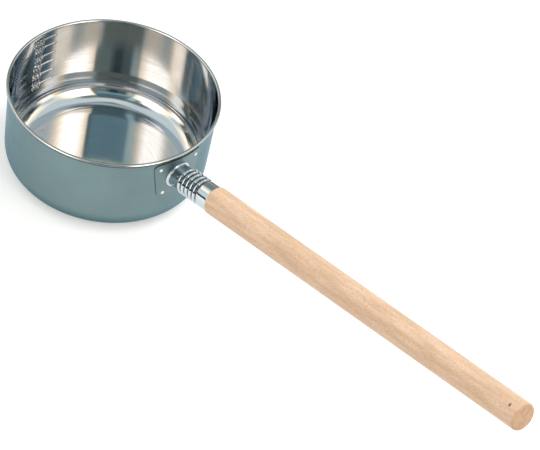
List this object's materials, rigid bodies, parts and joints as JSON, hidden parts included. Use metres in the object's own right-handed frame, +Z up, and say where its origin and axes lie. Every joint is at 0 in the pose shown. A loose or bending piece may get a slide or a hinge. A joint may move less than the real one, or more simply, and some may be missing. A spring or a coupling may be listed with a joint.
{
  "type": "water dipper",
  "caption": "Round stainless steel water dipper with a rolled rim, a ringed handle socket on a saddle plate, and a straight beech handle.",
  "frame": {"origin": "centre of the flat underside of the bowl, on the bowl's axis", "axes": "+Z up along the bowl's axis, +X from the bowl towards the handle, which rises 9.5 degrees over the horizontal"},
  "size_m": [0.511, 0.1552, 0.1189],
  "materials": {
    "bowl_steel": "polished inside, satin outside",
    "plate_steel": "satin",
    "weld_steel": "bright",
    "socket_steel": "polished",
    "nail_steel": "bright",
    "beech": "sanded, unvarnished"
  },
  "bodies": {
    "root": {"bowl": "bowl_steel", "saddle_plate": "plate_steel", "spot_welds": "weld_steel", "handle_socket": "socket_steel", "handle_nail": "nail_steel", "wood_handle": "beech"}
  },
  "joints": []
}
